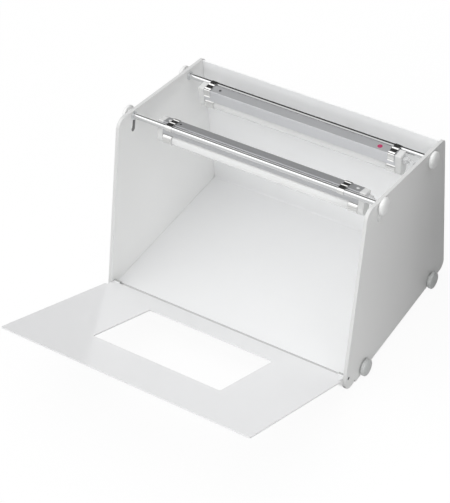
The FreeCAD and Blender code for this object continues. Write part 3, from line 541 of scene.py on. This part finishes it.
def flap():
    from mathutils.geometry import delaunay_2d_cdt
    hw_n, hw, s0, sf, s1 = 194.5, 198.0, 2.5, 19.0, 262.7
    outer = rounded([(-hw_n, s0), (hw_n, s0), (hw_n, sf), (hw, sf), (hw, s1), (-hw, s1), (-hw, sf), (-hw_n, sf)],
                    [0.0, 0.0, 0.0, 2.0, 4.0, 4.0, 2.0, 0.0], 5)
    win = rounded([(-102.6, 42.5), (102.6, 42.5), (102.6, 181.6), (-102.6, 181.6)], 4.0, 6)
    verts, edges = [], []

    def loop(pts):
        k = len(verts)
        verts.extend(Vector(p) for p in pts)
        edges.extend((k + i, k + (i + 1) % len(pts)) for i in range(len(pts)))

    def line(a, b, n):
        k = len(verts)
        verts.extend(Vector(a).lerp(Vector(b), i / n) for i in range(n + 1))
        edges.extend((k + i, k + i + 1) for i in range(n))

    loop(outer)
    loop(win)
    s = 4.5
    while s < 37:
        w = hw_n if s < sf + 2.2 else hw
        if abs(s - sf) > 0.4:
            line((-w, s), (w, s), 22)
        s += 1.5
    for s in (60.0, 90.0, 120.0, 150.0, 170.0):
        line((-hw, s), (-102.6, s), 4)
        line((102.6, s), (hw, s), 4)
    for s in (192.0, 205.0, 220.0, 235.0, 250.0):
        line((-hw, s), (hw, s), 22)
    out = delaunay_2d_cdt(verts, edges, [], 0, 1e-4)
    pts, faces = out[0], out[2]

    def inside(p, poly):
        c = False
        for i in range(len(poly)):
            a, b = poly[i], poly[i - 1]
            if (a[1] > p[1]) != (b[1] > p[1]) and p[0] < (b[0] - a[0]) * (p[1] - a[1]) / (b[1] - a[1]) + a[0]:
                c = not c
        return c

    bm = bmesh.new()
    top = [bm.verts.new(flap_point(p[0], p[1], 1.0)) for p in pts]
    low = [bm.verts.new(flap_point(p[0], p[1], -1.0)) for p in pts]
    used = {}
    for f in faces:
        c = (sum(pts[i][0] for i in f) / len(f), sum(pts[i][1] for i in f) / len(f))
        if not inside(c, outer) or inside(c, win):
            continue
        bm.faces.new([top[i] for i in f])
        bm.faces.new([low[i] for i in reversed(f)])
        for a, b in zip(f, list(f[1:]) + [f[0]]):
            used[frozenset((a, b))] = used.get(frozenset((a, b)), 0) + 1
    for e, k in used.items():
        if k == 1:
            a, b = tuple(e)
            bm.faces.new((top[a], top[b], low[b], low[a]))
    for v in [v for v in bm.verts if not v.link_faces]:
        bm.verts.remove(v)
    bmesh.ops.recalc_face_normals(bm, faces=bm.faces)
    bmesh.ops.join_triangles(bm, faces=[f for f in bm.faces if len(f.verts) == 3], angle_face_threshold=0.01, angle_shape_threshold=0.7)
    me = bpy.data.meshes.new("flap_flat")
    bm.to_mesh(me)
    bm.free()
    ob = bpy.data.objects.new("flap_bent_sheet", me)
    bpy.context.scene.collection.objects.link(ob)
    # rolled eyes for the hinge pins at the two ends of the inner edge
    tools = []
    for x0, x1, r, op in ((-194.5, -184.0, 3.5, "UNION"), (184.0, 194.5, 3.5, "UNION"), (-196.0, -183.0, 2.47, "DIFFERENCE"), (183.0, 196.0, 2.47, "DIFFERENCE")):
        tb = bmesh.new()
        m = Matrix.Translation(hinge) @ Matrix.Scale(MM, 4)
        ring0 = [tb.verts.new(m @ Vector((x0, r * math.cos(2 * math.pi * (k + 0.5) / 48), r * math.sin(2 * math.pi * (k + 0.5) / 48)))) for k in range(48)]
        ring1 = [tb.verts.new(m @ Vector((x1, r * math.cos(2 * math.pi * (k + 0.5) / 48), r * math.sin(2 * math.pi * (k + 0.5) / 48)))) for k in range(48)]
        for k in range(48):
            j = (k + 1) % 48
            tb.faces.new((ring0[k], ring0[j], ring1[j], ring1[k]))
        tb.faces.new(ring0[::-1])
        tb.faces.new(ring1)
        bmesh.ops.recalc_face_normals(tb, faces=tb.faces)
        tm = bpy.data.meshes.new("tool")
        tb.to_mesh(tm)
        tb.free()
        to = bpy.data.objects.new("tool", tm)
        bpy.context.scene.collection.objects.link(to)
        tools.append(to)
        mod = ob.modifiers.new("b", "BOOLEAN")
        mod.object, mod.operation, mod.solver = to, op, "EXACT"
    apply_modifiers(ob)
    for to in tools:
        bpy.data.objects.remove(to)
    bm = bmesh.new()
    bm.from_mesh(ob.data)
    bmesh.ops.remove_doubles(bm, verts=bm.verts, dist=2e-6)
    round_edges(bm, 0.0004, 3, 40.0)
    bmesh.ops.recalc_face_normals(bm, faces=bm.faces)
    me = bpy.data.meshes.new("flap_bent_sheet")
    bm.to_mesh(me)
    print("FLAP open edges", sum(1 for e in bm.edges if len(e.link_faces) != 2), "faces", len(bm.faces))
    bm.free()
    for p in me.polygons:
        p.use_smooth = True
    me.materials.append(M["flap_white"])
    ob.data = me
    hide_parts("flap_neck", "flap_sheet")
    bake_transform(ob)
    weighted(ob)
    return ob


flap()

# ------------------------------------------------------------------ lamps
class Lamp:
    """Axes of one lamp: x along it, v away from the rod, w up, from the middle of its rod, in millimetres."""

    def __init__(self, prefix, tube, side):
        self.p, self.side, self.body, self.tube_body = prefix, side, prefix, tube
        j, k = JOINTS[prefix + "_swivel"], JOINTS[tube + "_twist"]
        self.rod = Vector(j["pos_m"])
        d = (Vector(k["pos_m"]) - self.rod) / MM
        # the tube axis sits at v 13.2, w -22.9
        a = math.atan2(d.z, d.y) - math.atan2(-22.9, 13.2 * side)
        self.vy = Vector((0, math.cos(a), math.sin(a))) * side
        self.wz = Vector((0, -math.sin(a), math.cos(a)))
        lo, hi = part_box(prefix + "_channel")
        self.shift = (lo.x + hi.x) / 2 / MM
        self.m = Matrix(((1, 0, 0), (0, self.vy.y, self.wz.y), (0, self.vy.z, self.wz.z))).to_4x4()
        self.m = Matrix.Translation(self.rod) @ self.m @ Matrix.Scale(MM, 4)

    def at(self, x, v, w):
        return self.m @ Vector((x, v, w))


def spring_clips(L, xs):
    """Bent chromed strip: hook round the rod, two ribs across the strap, leg with a turned-out toe."""
    th = 0.4
    # hook, from its lip below the rod, round the far side
    path = [(math.cos(math.radians(a)) * 4.47, math.sin(math.radians(a)) * 4.47) for a in [305 - i * 12.5 for i in range(0, 18)]]
    strap = []
    v = 1.2
    while v <= 20.4:
        w = 4.9
        for c, hgt, wid in ((7.4, 1.25, 2.3), (17.3, 1.25, 2.3)):
            if abs(v - c) < wid:
                w += hgt * 0.5 * (1 + math.cos(math.pi * (v - c) / wid))
        strap.append((v, w))
        v += 0.4
    path = [p for p in path if not (p[0] > 0.9 and p[1] > 0)] + strap
    path += [(20.4 + 1.3 * math.sin(t), 4.9 - 1.3 * (1 - math.cos(t))) for t in [math.radians(a) for a in (18, 36, 54, 72, 90)]]
    path += [(21.7 + 0.35 * math.sin(math.pi * i / 8), 3.6 - i * 0.95) for i in range(1, 9)]
    path += [(21.9, -4.6), (22.3, -5.25), (22.9, -5.7), (23.6, -5.85)]
    left, right = strip(path, th)
    bm = bmesh.new()
    for cx in xs:
        x0, x1 = L.shift + cx - 5.0, L.shift + cx + 5.0
        n = len(path)
        ring = []
        for x in (x0, x1):
            ring.append(([bm.verts.new(L.at(x, *p)) for p in left], [bm.verts.new(L.at(x, *p)) for p in right]))
        (l0, r0), (l1, r1) = ring
        for i in range(n - 1):
            bm.faces.new((l0[i], l0[i + 1], l1[i + 1], l1[i]))
            bm.faces.new((r0[i], r1[i], r1[i + 1], r0[i + 1]))
            bm.faces.new((l0[i], r0[i], r0[i + 1], l0[i + 1]))
            bm.faces.new((l1[i], l1[i + 1], r1[i + 1], r1[i]))
        bm.faces.new((l0[0], l1[0], r1[0], r0[0]))
        bm.faces.new((l0[-1], r0[-1], r1[-1], l1[-1]))
    bmesh.ops.recalc_face_normals(bm, faces=bm.faces)
    round_edges(bm, 0.00014, 2, 50.0)
    node = L.p + "_spring_clips"
    return weighted(new_object(L.p + "_bent_clips", bm, "chrome_clip", L.body, replaces=(node,)))


def collars(L):
    """Chromed sleeves with a rolled bead at each rim."""
    bm = bmesh.new()
    for sg in (-1, 1):
        m = L.m @ Matrix.Translation((L.shift, 13.2, -22.9)) @ Matrix.Rotation(0.0 if sg > 0 else math.pi, 4, "Z")
        outer = [(141.7, 8.3), (141.72, 8.75)] + arc(142.35, 8.7, 0.62, 170, 30, 6) + [(143.1, 8.72), (146.0, 8.66), (152.5, 8.66), (155.0, 8.72)] + arc(155.9, 8.66, 0.55, 150, 10, 6) + [(156.6, 8.3)]
        inner = [(156.55, 8.1), (150.0, 8.1), (142.0, 8.1), (141.8, 8.12)]
        lathe(bm, outer + inner, m, 72)
    return weighted(new_object(L.p + "_rolled_collars", bm, "chrome_clip", L.body, replaces=(L.p + "_collars",)))


def tube(L):
    """Glass tube necked in a little before its metal caps."""
    bm = bmesh.new()
    m = L.m @ Matrix.Translation((L.shift, 13.2, -22.9))
    xs = [-141.9, -141.7, -141.2, -140.2, -138.0, -120.0, -90, -60, -30, 0, 30, 60, 90, 120.0, 138.0, 140.2, 141.2, 141.7, 141.9]
    ro = [7.35, 7.5, 7.66, 7.74, 7.75, 7.75, 7.75, 7.75, 7.75, 7.75, 7.75, 7.75, 7.75, 7.75, 7.75, 7.74, 7.66, 7.5, 7.35]
    prof = list(zip(xs, ro)) + [(141.9, 7.05), (60, 7.05), (-60, 7.05), (-141.9, 7.05)]
    lathe(bm, prof, m, 72)
    return weighted(new_object(L.p + "_fluorescent_tube", bm, "tube_white", L.tube_body, replaces=(L.p + "_tube_glass",)))


def end_cap(L, name, sg):
    """Moulded lampholder cap: well rounded round its outer face, finely broken edges elsewhere."""
    node = "%s_end_cap_%s" % (L.p, name)
    bm = cad_mesh(node)
    lo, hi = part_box(node)
    out = hi.x if sg > 0 else lo.x
    round_edges(bm, 0.0015, 5, 40.0, pick=lambda e: all(abs(v.co.x - out) < 1e-5 for v in e.verts))
    round_edges(bm, 0.0004, 2, 40.0)
    return weighted(new_object(node + "_moulding", bm, "lamp_white", L.body, replaces=(node,)))


def plug_and_lead(L):
    """Clear two-way connector with ribs and a strain relief, and its twin flex."""
    lo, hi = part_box(L.p + "_plug")
    x0, x1 = lo.x / MM, hi.x / MM
    v0, w0 = 13.2, -4.5
    bm = bmesh.new()
    sec = rounded([(v0 - 4.5, w0 - 4.0), (v0 + 4.5, w0 - 4.0), (v0 + 4.5, w0 + 4.0), (v0 - 4.5, w0 + 4.0)], 1.1, 4)

    def scaled(k, dy=0.0):
        return [(v0 + (a - v0) * k, w0 + (b - w0) * k + dy) for a, b in sec]

    f = (x1 - x0) / 7.0
    stations = [(x0 + a * f, k) for a, k in ((0.0, 0.93), (0.35, 1.0), (1.4, 1.0), (1.55, 0.93), (1.95, 0.93), (2.1, 1.0), (3.1, 1.0), (3.25, 0.93), (3.65, 0.93), (3.8, 1.0), (4.5, 0.99), (4.9, 0.90))]
    rings = [[bm.verts.new(L.at(x, a, b)) for a, b in scaled(k)] for x, k in stations]
    n = len(sec)
    for i in range(len(rings) - 1):
        for k in range(n):
            j = (k + 1) % n
            bm.faces.new((rings[i][k], rings[i][j], rings[i + 1][j], rings[i + 1][k]))
    bm.faces.new(rings[0][::-1])
    # shoulder steps down to the round strain relief
    relief = [bm.verts.new(L.at(x0 + 4.9 * f, v0 + 3.3 * math.cos(math.atan2(b - w0, a - v0)), w0 + 3.3 * math.sin(math.atan2(b - w0, a - v0)))) for a, b in sec]
    for k in range(n):
        j = (k + 1) % n
        bm.faces.new((rings[-1][k], rings[-1][j], relief[j], relief[k]))
    prev = relief
    for x, r in ((5.4, 3.3), (5.5, 2.9), (5.9, 2.9), (6.0, 3.15), (6.4, 3.1), (6.5, 2.75), (6.8, 2.7), (7.0, 2.5)):
        cur = [bm.verts.new(L.at(x0 + x * f, v0 + r * math.cos(math.atan2(b - w0, a - v0)), w0 + r * math.sin(math.atan2(b - w0, a - v0)))) for a, b in sec]
        for k in range(n):
            j = (k + 1) % n
            bm.faces.new((prev[k], prev[j], cur[j], cur[k]))
        prev = cur
    bm.faces.new(prev)
    weighted(new_object(L.p + "_connector", bm, "clear_plastic", L.body, replaces=(L.p + "_plug",)))

    lead = bmesh.new()
    lx = x1 + 0.05
    for off in (-1.06, 1.06):
        pts, rad = [], []
        for x in (0.0, 0.15):
            pts.append(L.at(lx + x, v0 + off, w0)); rad.append((0.8 if x == 0 else 1.0) * MM)
        for i in range(1, 13):
            t = math.radians(90 * i / 12)
            pts.append(L.at(lx + 0.15 + 4.45 * math.sin(t), v0 + off, w0 - 4.45 * (1 - math.cos(t)))); rad.append(1.0 * MM)
        for i in range(1, 13):
            sway = 0.25 * math.sin(i / 12 * math.pi * 2)
            pts.append(L.at(lx + 4.6 + sway * 0.6, v0 + off + sway, w0 - 4.6 - 34.0 * i / 12)); rad.append(1.0 * MM)
        sweep_tube(lead, pts, rad, 16)
    # ferrule that ends the twin flex
    m = L.m @ Matrix.Translation((lx + 4.6, v0, w0 - 4.6)) @ Matrix.Rotation(math.radians(90), 4, "Y")
    prof = [(34.05, 0.0), (34.05, 2.3), (34.4, 2.75), (35.2, 2.9), (35.5, 2.6), (36.2, 2.6), (36.5, 2.9), (37.3, 2.9), (37.6, 2.6), (38.3, 2.6), (38.6, 2.9), (41.2, 2.85), (41.9, 2.4), (42.0, 0.0)]
    lathe_closed(lead, prof, m, 40)
    weighted(new_object(L.p + "_twin_flex", lead, "lead_flex", L.body, replaces=(L.p + "_lead",)))


def lathe_closed(bm, prof, m, segments):
    lathe_open(bm, prof, m, segments)


FRONT = Lamp("front_lamp", "front_tube", 1)
REAR = Lamp("rear_lamp", "rear_tube", -1)
spring_clips(FRONT, (-142.1, 132.9))
spring_clips(REAR, (-150.3, 150.3))
for L in (FRONT, REAR):
    collars(L)
    tube(L)
    plug_and_lead(L)
    finished(L.p + "_channel", 0.00018, 2, 35.0)
    end_cap(L, "left", -1)
    end_cap(L, "right", 1)
    finished(L.p + "_cover", 0.0002, 2)
    rivets = finished(L.p + "_rivets", 0.0003, 2, 40.0)
    if L is FRONT:
        # these two have white caps on
        rivets.data.materials[0] = M["lamp_white"]
    finished(L.p + "_ballast", 0.0003, 2)
    finished(L.p + "_tube_caps", 0.0003, 2, 40.0)
finished("rear_lamp_red_dot", 0.00012, 2)

# ------------------------------------------------------------------ stage: floor, light, camera
SHIFT = Vector((0.0, -0.0345565, 0.0031))


def camera():
    a, e, r = math.radians(37.03), math.radians(43.59), math.radians(-5.99)
    back = Vector((math.sin(a) * math.cos(e), -math.cos(a) * math.cos(e), math.sin(e)))
    right = Vector((math.cos(a), math.sin(a), 0.0))
    up = right.cross(-back)
    x = right * math.cos(r) + up * math.sin(r)
    y = -right * math.sin(r) + up * math.cos(r)
    cam = bpy.data.cameras.new("camera")
    cam.sensor_width, cam.lens = 36.0, 1765.52 * 36.0 / 503.0
    cam.clip_start, cam.clip_end = 0.05, 50.0
    ob = bpy.data.objects.new("camera", cam)
    bpy.context.scene.collection.objects.link(ob)
    loc = (4.77 * x + 131.12 * y + 2503.06 * back) * MM + SHIFT
    m = Matrix((x, y, back)).transposed().to_4x4()
    m.translation = loc
    ob.matrix_world = m
    bpy.context.scene.camera = ob
    return ob


cam = camera()


def floor():
    """Pale paper: reads white to the eye of the camera with a trace of contact shade, and a plain pale card to everything else."""
    bm = bmesh.new()
    bmesh.ops.create_grid(bm, x_segments=4, y_segments=4, size=4.0)
    me = bpy.data.meshes.new("floor")
    bm.to_mesh(me)
    bm.free()
    ob = bpy.data.objects.new("floor", me)
    ob.location.z = -0.0005
    bpy.context.scene.collection.objects.link(ob)
    m = Mat("floor_paper")
    t = m.t
    out = [n for n in t.nodes if n.type == "OUTPUT_MATERIAL"][0]
    m.surface(rgb(0.45, 0.45, 0.45), Roughness=0.95, Specular_IOR_Level=0.1)
    card = m.add("ShaderNodeBsdfDiffuse")
    card.inputs[0].default_value = rgb(0.95, 0.95, 0.95)
    glow = m.add("ShaderNodeEmission")
    glow.inputs[0].default_value = rgb(1, 1, 1)
    # the table under the box is in its own shade, which shows through the hinge seam
    px, py = m.xyz()[0], m.xyz()[1]
    across = m.ramp(m.math("ABSOLUTE", px), 0.1935, 0.1965, 1.0, 0.0)
    deep = m.math("MULTIPLY", m.ramp(py, -0.0205, -0.0165), m.ramp(py, 0.240, 0.245, 1.0, 0.0))
    m.link(m.ramp(m.math("MULTIPLY", across, deep), 0.0, 1.0, 1.0, 0.60), glow.inputs[1])
    seen = m.add("ShaderNodeMixShader")
    seen.inputs[0].default_value = 0.92
    m.link(card.outputs[0], seen.inputs[1])
    m.link(glow.outputs[0], seen.inputs[2])
    path = m.add("ShaderNodeLightPath")
    shine = m.add("ShaderNodeEmission")
    shine.inputs[1].default_value = 0.72
    first = m.add("ShaderNodeMixShader")
    m.link(path.outputs["Is Glossy Ray"], first.inputs[0])
    m.link(m.b.outputs[0], first.inputs[1])
    m.link(shine.outputs[0], first.inputs[2])
    last = m.add("ShaderNodeMixShader")
    m.link(path.outputs["Is Camera Ray"], last.inputs[0])
    m.link(first.outputs[0], last.inputs[1])
    m.link(seen.outputs[0], last.inputs[2])
    m.link(last.outputs[0], out.inputs["Surface"])
    me.materials.append(m.m)
    return ob


floor()

# What polished parts see, by the angle round the X axis: 0 level behind, 90 overhead, 180 level in front.
MIRROR = [(-180, 0.62), (-90, 0.60), (-42, 0.50), (-26, 0.28), (-10, 0.09), (10, 0.04), (60, 0.05), (74, 0.30), (86, 1.35), (108, 1.60), (138, 1.30), (156, 0.90), (180, 0.66)]
# What matt parts see: an even base and a broad soft light from the front, the left and above.
SOFT = {"base": 0.335, "dir": (-0.36, -0.26, 0.89), "power": 1.285, "sharp": 1.4}


def world():
    w = bpy.data.worlds.new("studio")
    bpy.context.scene.world = w
    w.use_nodes = True
    t = w.node_tree
    t.nodes.clear()

    def fn(op, a, b=0.0):
        n = t.nodes.new("ShaderNodeMath")
        n.operation = op
        for i, v in enumerate((a, b)):
            if hasattr(v, "is_output"):
                t.links.new(v, n.inputs[i])
            else:
                n.inputs[i].default_value = v
        return n.outputs[0]

    def background(value, tint=(1, 1, 1)):
        n = t.nodes.new("ShaderNodeBackground")
        n.inputs[0].default_value = rgb(*tint)
        if hasattr(value, "is_output"):
            t.links.new(value, n.inputs[1])
        else:
            n.inputs[1].default_value = value
        return n.outputs[0]

    def choose(fac, a, b):
        n = t.nodes.new("ShaderNodeMixShader")
        t.links.new(fac, n.inputs[0])
        t.links.new(a, n.inputs[1])
        t.links.new(b, n.inputs[2])
        return n.outputs[0]

    out = t.nodes.new("ShaderNodeOutputWorld")
    path = t.nodes.new("ShaderNodeLightPath")
    co = t.nodes.new("ShaderNodeTexCoord")
    sep = t.nodes.new("ShaderNodeSeparateXYZ")
    t.links.new(co.outputs["Generated"], sep.inputs[0])
    x, y, z = sep.outputs
    turn = fn("DIVIDE", fn("ARCTAN2", z, y), 2 * math.pi)
    turn = fn("ADD", turn, 0.5)
    ramp = t.nodes.new("ShaderNodeValToRGB")
    ramp.color_ramp.interpolation = "LINEAR"
    els = ramp.color_ramp.elements
    while len(els) > 1:
        els.remove(els[-1])
    for i, (deg, val) in enumerate(MIRROR):
        p = (deg / 360.0) + 0.5
        e = els[0] if i == 0 else els.new(p)
        e.position = p
        e.color = (val / 2, val / 2, val / 2, 1)
    t.links.new(turn, ramp.inputs[0])
    sheen = fn("MULTIPLY", ramp.outputs[0], 2.0)
    d = Vector(SOFT["dir"]).normalized()
    dot = fn("ADD", fn("ADD", fn("MULTIPLY", x, d.x), fn("MULTIPLY", y, d.y)), fn("MULTIPLY", z, d.z))
    lobe = fn("POWER", fn("MAXIMUM", dot, 0.0), SOFT["sharp"])
    soft = fn("ADD", fn("MULTIPLY", lobe, SOFT["power"]), SOFT["base"])
    matt = choose(path.outputs["Is Glossy Ray"], background(soft), background(sheen))
    t.links.new(choose(path.outputs["Is Camera Ray"], matt, background(1.0)), out.inputs[0])


world()


def area(name, loc, aim, size, power, mirror=False, spread=None):
    l = bpy.data.lights.new(name, "AREA")
    l.shape, l.size, l.size_y, l.energy = "RECTANGLE", size[0], size[1], power
    if spread:
        l.spread = math.radians(spread)
    o = bpy.data.objects.new(name, l)
    o.location = loc
    o.rotation_mode = "QUATERNION"
    o.rotation_quaternion = (Vector(aim) - Vector(loc)).to_track_quat("-Z", "Y")
    o.visible_glossy = mirror
    bpy.context.scene.collection.objects.link(o)
    return o


area("low_front_right", (1.05, -0.47, 0.10), (0.2, 0.0, 0.06), (0.5, 0.4), 1.85)


def flag(name, corners):
    """Black card outside the frame that holds light off one side."""
    bm = bmesh.new()
    bm.faces.new([bm.verts.new(c) for c in corners])
    me = bpy.data.meshes.new(name)
    bm.to_mesh(me)
    bm.free()
    ob = bpy.data.objects.new(name, me)
    m = Mat(name)
    m.surface(rgb(0.02, 0.02, 0.02), Roughness=0.9, Specular_IOR_Level=0.0)
    me.materials.append(m.m)
    ob.visible_camera = ob.visible_glossy = ob.visible_transmission = False
    bpy.context.scene.collection.objects.link(ob)


area("high_right", (1.0, -0.35, 0.95), (0.0, 0.05, 0.2), (0.6, 0.6), 1.1)
area("back_wall_top", (0.0, -0.80, 0.55), (0.0, 0.25, 0.235), (0.8, 0.4), 0.15, spread=50)
flag("flag_right", [(0.40, 0.06, 0.0), (0.40, 0.75, 0.0), (0.40, 0.75, 0.31), (0.40, 0.06, 0.31)])

vs = bpy.context.scene.view_settings
vs.view_transform, vs.look, vs.exposure, vs.gamma = "Standard", "None", 0.0, 1.0
